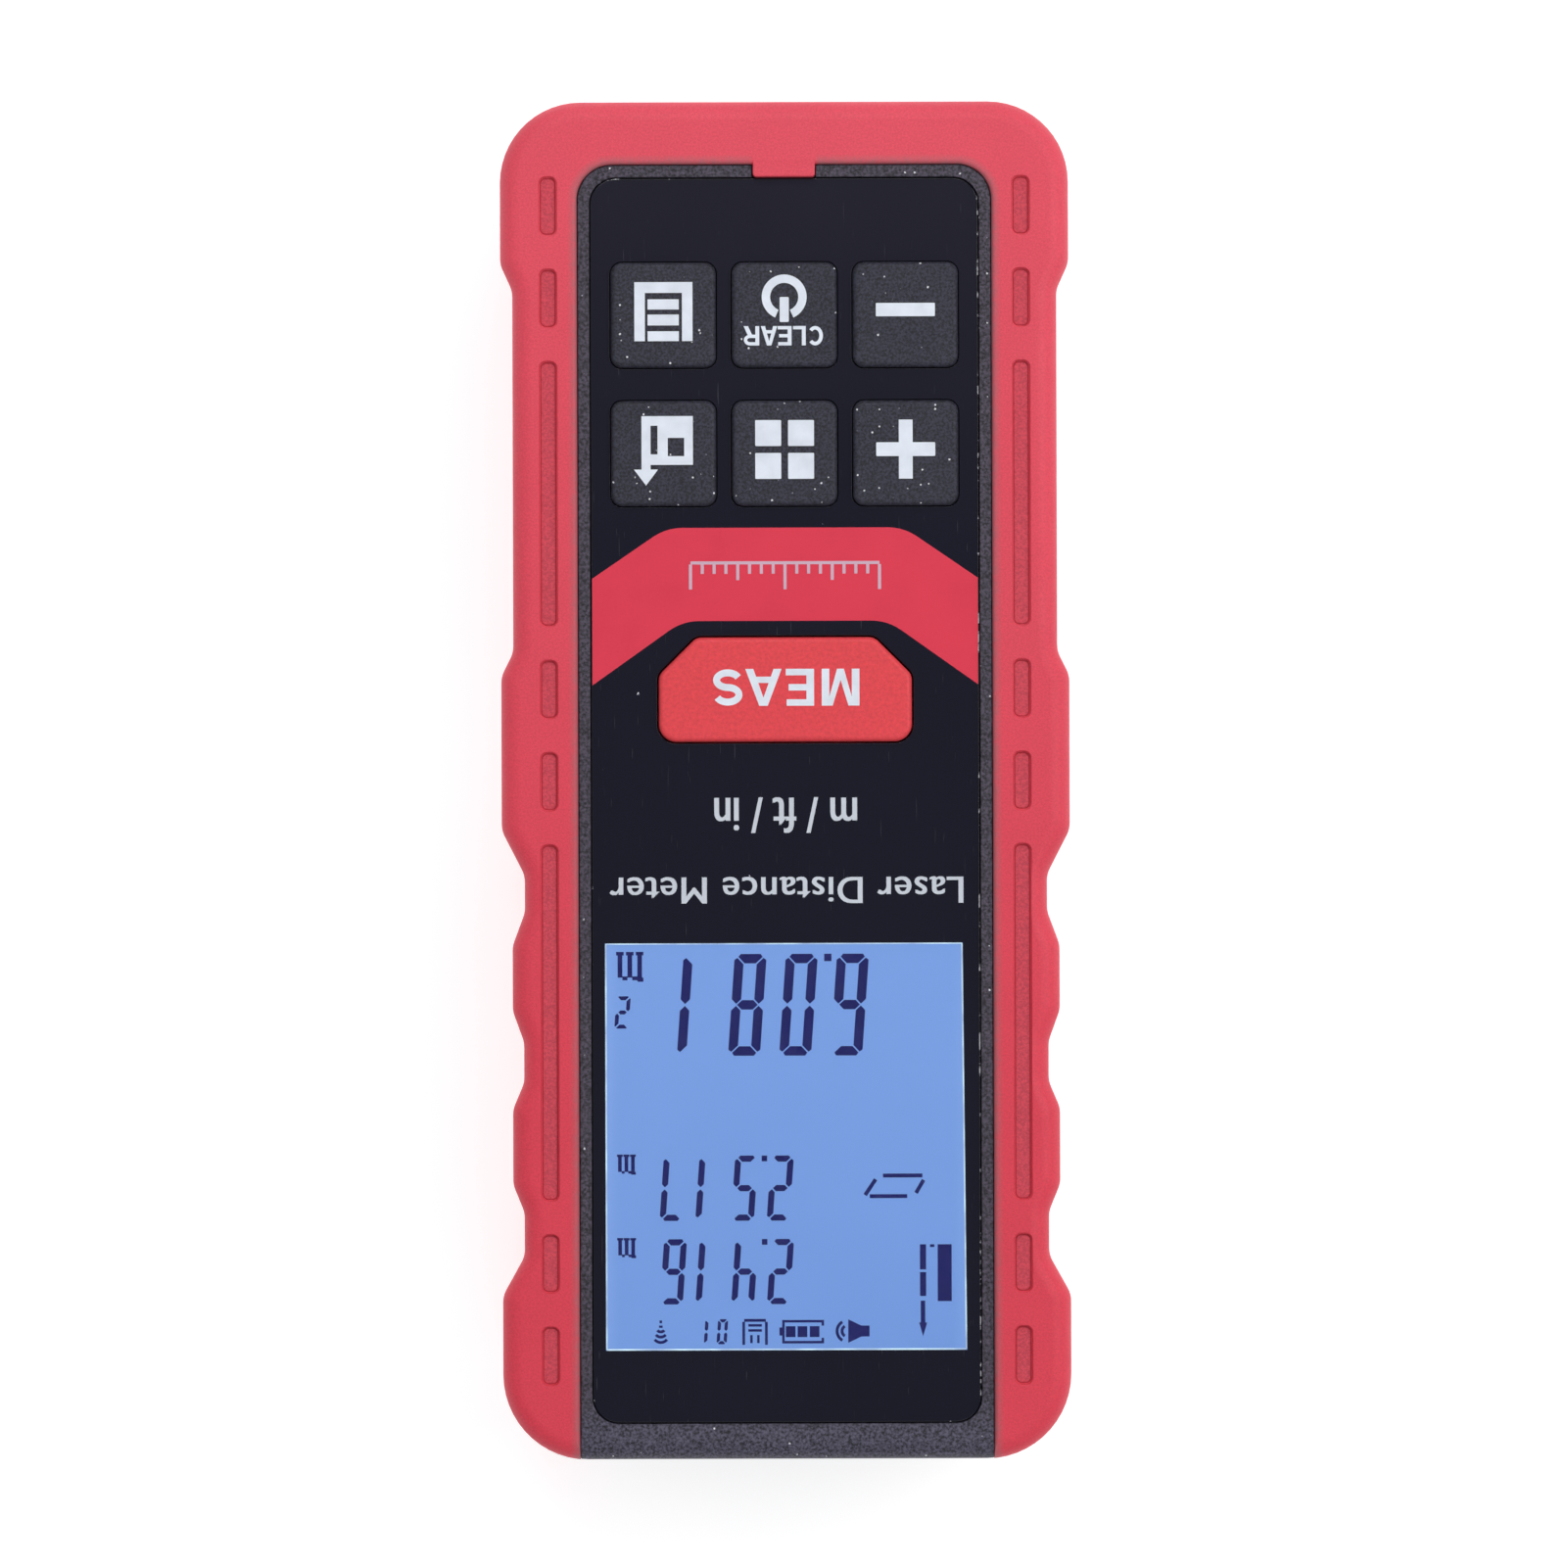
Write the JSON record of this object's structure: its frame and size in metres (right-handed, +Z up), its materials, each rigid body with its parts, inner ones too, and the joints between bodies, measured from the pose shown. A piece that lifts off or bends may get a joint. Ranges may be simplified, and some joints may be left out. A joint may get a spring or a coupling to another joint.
{
  "type": "laser distance meter",
  "caption": "Hand-held laser distance meter in a rubber-edged case, with a backlit screen, sprung keys, a battery door and its optics inside.",
  "frame": {"origin": "on the surface the meter rests on, under the middle of the case", "axes": "+Y along the case towards the laser end, +Z up out of the screen and keys, +X to the right of someone reading the screen"},
  "size_m": [0.0494, 0.118, 0.0265],
  "materials": {
    "rubber_red": "matte, lightly grained red",
    "shell_grey": "textured dark grey",
    "face_black": "polished black",
    "key_black": "matte black with white icons",
    "key_red": "matte orange-red",
    "silicone_grey": "translucent grey silicone",
    "screen_blue": "blue backlit screen",
    "plastic_white": "white moulding",
    "board_green": "green solder mask",
    "chip_black": "moulded black",
    "cast_aluminium": "cast",
    "brass": "turned",
    "steel": "plated",
    "lens_glass": "polished",
    "flex_amber": "amber film",
    "cell_wrap": "printed wrap on a metal can",
    "label_silver": "satin foil"
  },
  "bodies": {
    "case": {"front_housing": "shell_grey", "rear_housing": "shell_grey", "front_bumper": "rubber_red", "rear_bumper": "rubber_red", "faceplate": "face_black", "nose_plate": "face_black", "rear_label": "label_silver", "keypad_mat": "silicone_grey", "switch_minus": "steel", "switch_power": "steel", "switch_memory": "steel", "switch_plus": "steel", "switch_function": "steel", "switch_reference": "steel", "switch_measure": "steel", "main_board": "board_green", "lcd_glass": "screen_blue", "backlight_panel": "plastic_white", "lcd_connector": "silicone_grey", "lcd_frame": "plastic_white", "controller_chip": "chip_black", "buzzer": "chip_black", "battery_cell_1": "cell_wrap", "battery_cell_2": "cell_wrap", "contact_bridge": "steel", "contact_positive": "steel", "contact_negative": "steel", "spring_bridge": "steel", "spring_negative": "steel", "optical_block": "cast_aluminium", "receiver_lens": "lens_glass", "emitter_window": "lens_glass", "laser_barrel": "brass", "collimator_lens": "lens_glass", "laser_diode": "steel", "detector_board": "board_green", "photodiode": "steel", "shield_can": "steel", "flex_cable": "flex_amber", "case_screw_1": "steel", "case_screw_2": "steel", "case_screw_3": "steel", "case_screw_4": "steel", "board_screw_1": "steel", "board_screw_2": "steel", "optics_screw_1": "steel", "optics_screw_2": "steel"},
    "battery_door": {"battery_door": "shell_grey"},
    "key_minus": {"key_minus": "key_black"},
    "key_power": {"key_power": "key_black"},
    "key_memory": {"key_memory": "key_black"},
    "key_plus": {"key_plus": "key_black"},
    "key_function": {"key_function": "key_black"},
    "key_reference": {"key_reference": "key_black"},
    "measure_key": {"measure_key": "key_red"}
  },
  "joints": [
    {"name": "battery_door_hinge", "type": "hinge", "parent": "case", "child": "battery_door", "pos_m": [0, 0.001, 0.0003], "axis": [1, 0, 0], "range_deg": [0, 80]},
    {"name": "key_minus_press", "type": "slide", "parent": "case", "child": "key_minus", "axis": [0, 0, -1], "range_m": [0, 0.0006], "stiffness_N_per_m": 1500, "springref_m": -0.0003},
    {"name": "key_power_press", "type": "slide", "parent": "case", "child": "key_power", "axis": [0, 0, -1], "range_m": [0, 0.0006], "stiffness_N_per_m": 1500, "springref_m": -0.0003},
    {"name": "key_memory_press", "type": "slide", "parent": "case", "child": "key_memory", "axis": [0, 0, -1], "range_m": [0, 0.0006], "stiffness_N_per_m": 1500, "springref_m": -0.0003},
    {"name": "key_plus_press", "type": "slide", "parent": "case", "child": "key_plus", "axis": [0, 0, -1], "range_m": [0, 0.0006], "stiffness_N_per_m": 1500, "springref_m": -0.0003},
    {"name": "key_function_press", "type": "slide", "parent": "case", "child": "key_function", "axis": [0, 0, -1], "range_m": [0, 0.0006], "stiffness_N_per_m": 1500, "springref_m": -0.0003},
    {"name": "key_reference_press", "type": "slide", "parent": "case", "child": "key_reference", "axis": [0, 0, -1], "range_m": [0, 0.0006], "stiffness_N_per_m": 1500, "springref_m": -0.0003},
    {"name": "measure_key_press", "type": "slide", "parent": "case", "child": "measure_key", "axis": [0, 0, -1], "range_m": [0, 0.0006], "stiffness_N_per_m": 1500, "springref_m": -0.0003}
  ]
}
